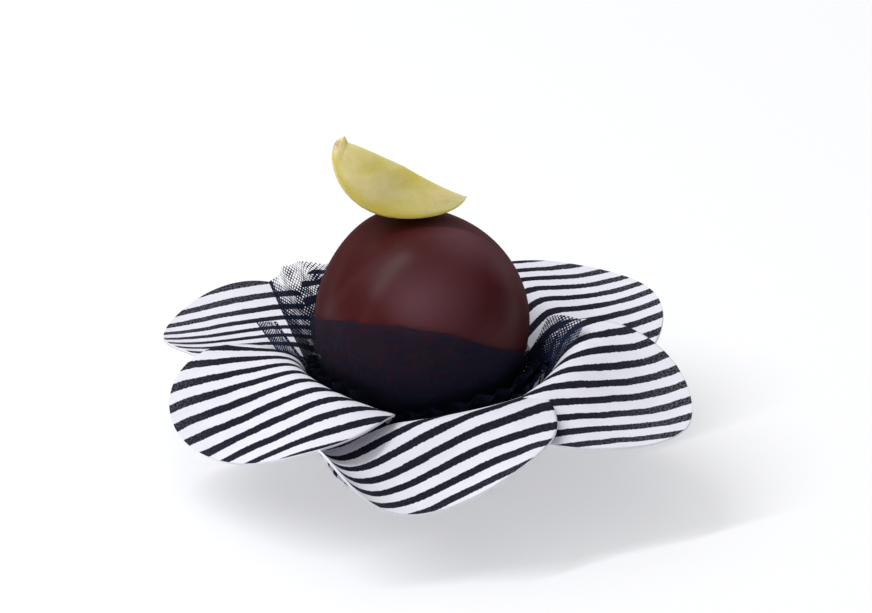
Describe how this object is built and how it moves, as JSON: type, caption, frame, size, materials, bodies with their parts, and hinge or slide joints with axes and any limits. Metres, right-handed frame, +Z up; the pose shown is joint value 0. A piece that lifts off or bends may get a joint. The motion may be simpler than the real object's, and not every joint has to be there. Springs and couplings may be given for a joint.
{
  "type": "chocolate praline",
  "caption": "Round dark chocolate praline with a grape slice on top, wrapped in dark net in a striped flower-shaped case with a flat foot",
  "frame": {"origin": "the middle of the case's flat round underside, on the surface that it stands on", "axes": "+Z up, front towards -Y, the side that shows in the picture, +X to the right"},
  "size_m": [0.0788, 0.0744, 0.0522],
  "materials": {
    "striped_case": "stiff pressed sheet of fine weave, white with narrow near-black navy stripes, matt",
    "dark_net": "fine navy net, see-through in one layer and near black where it gathers",
    "dark_chocolate": "dark red-brown chocolate coating with a soft satin sheen",
    "grape_flesh": "moist translucent yellow-green grape flesh, brighter at the skin"
  },
  "bodies": {
    "root": {"flower_case": "striped_case", "net_wrap": "dark_net", "praline": "dark_chocolate", "grape_slice": "grape_flesh"}
  },
  "joints": []
}
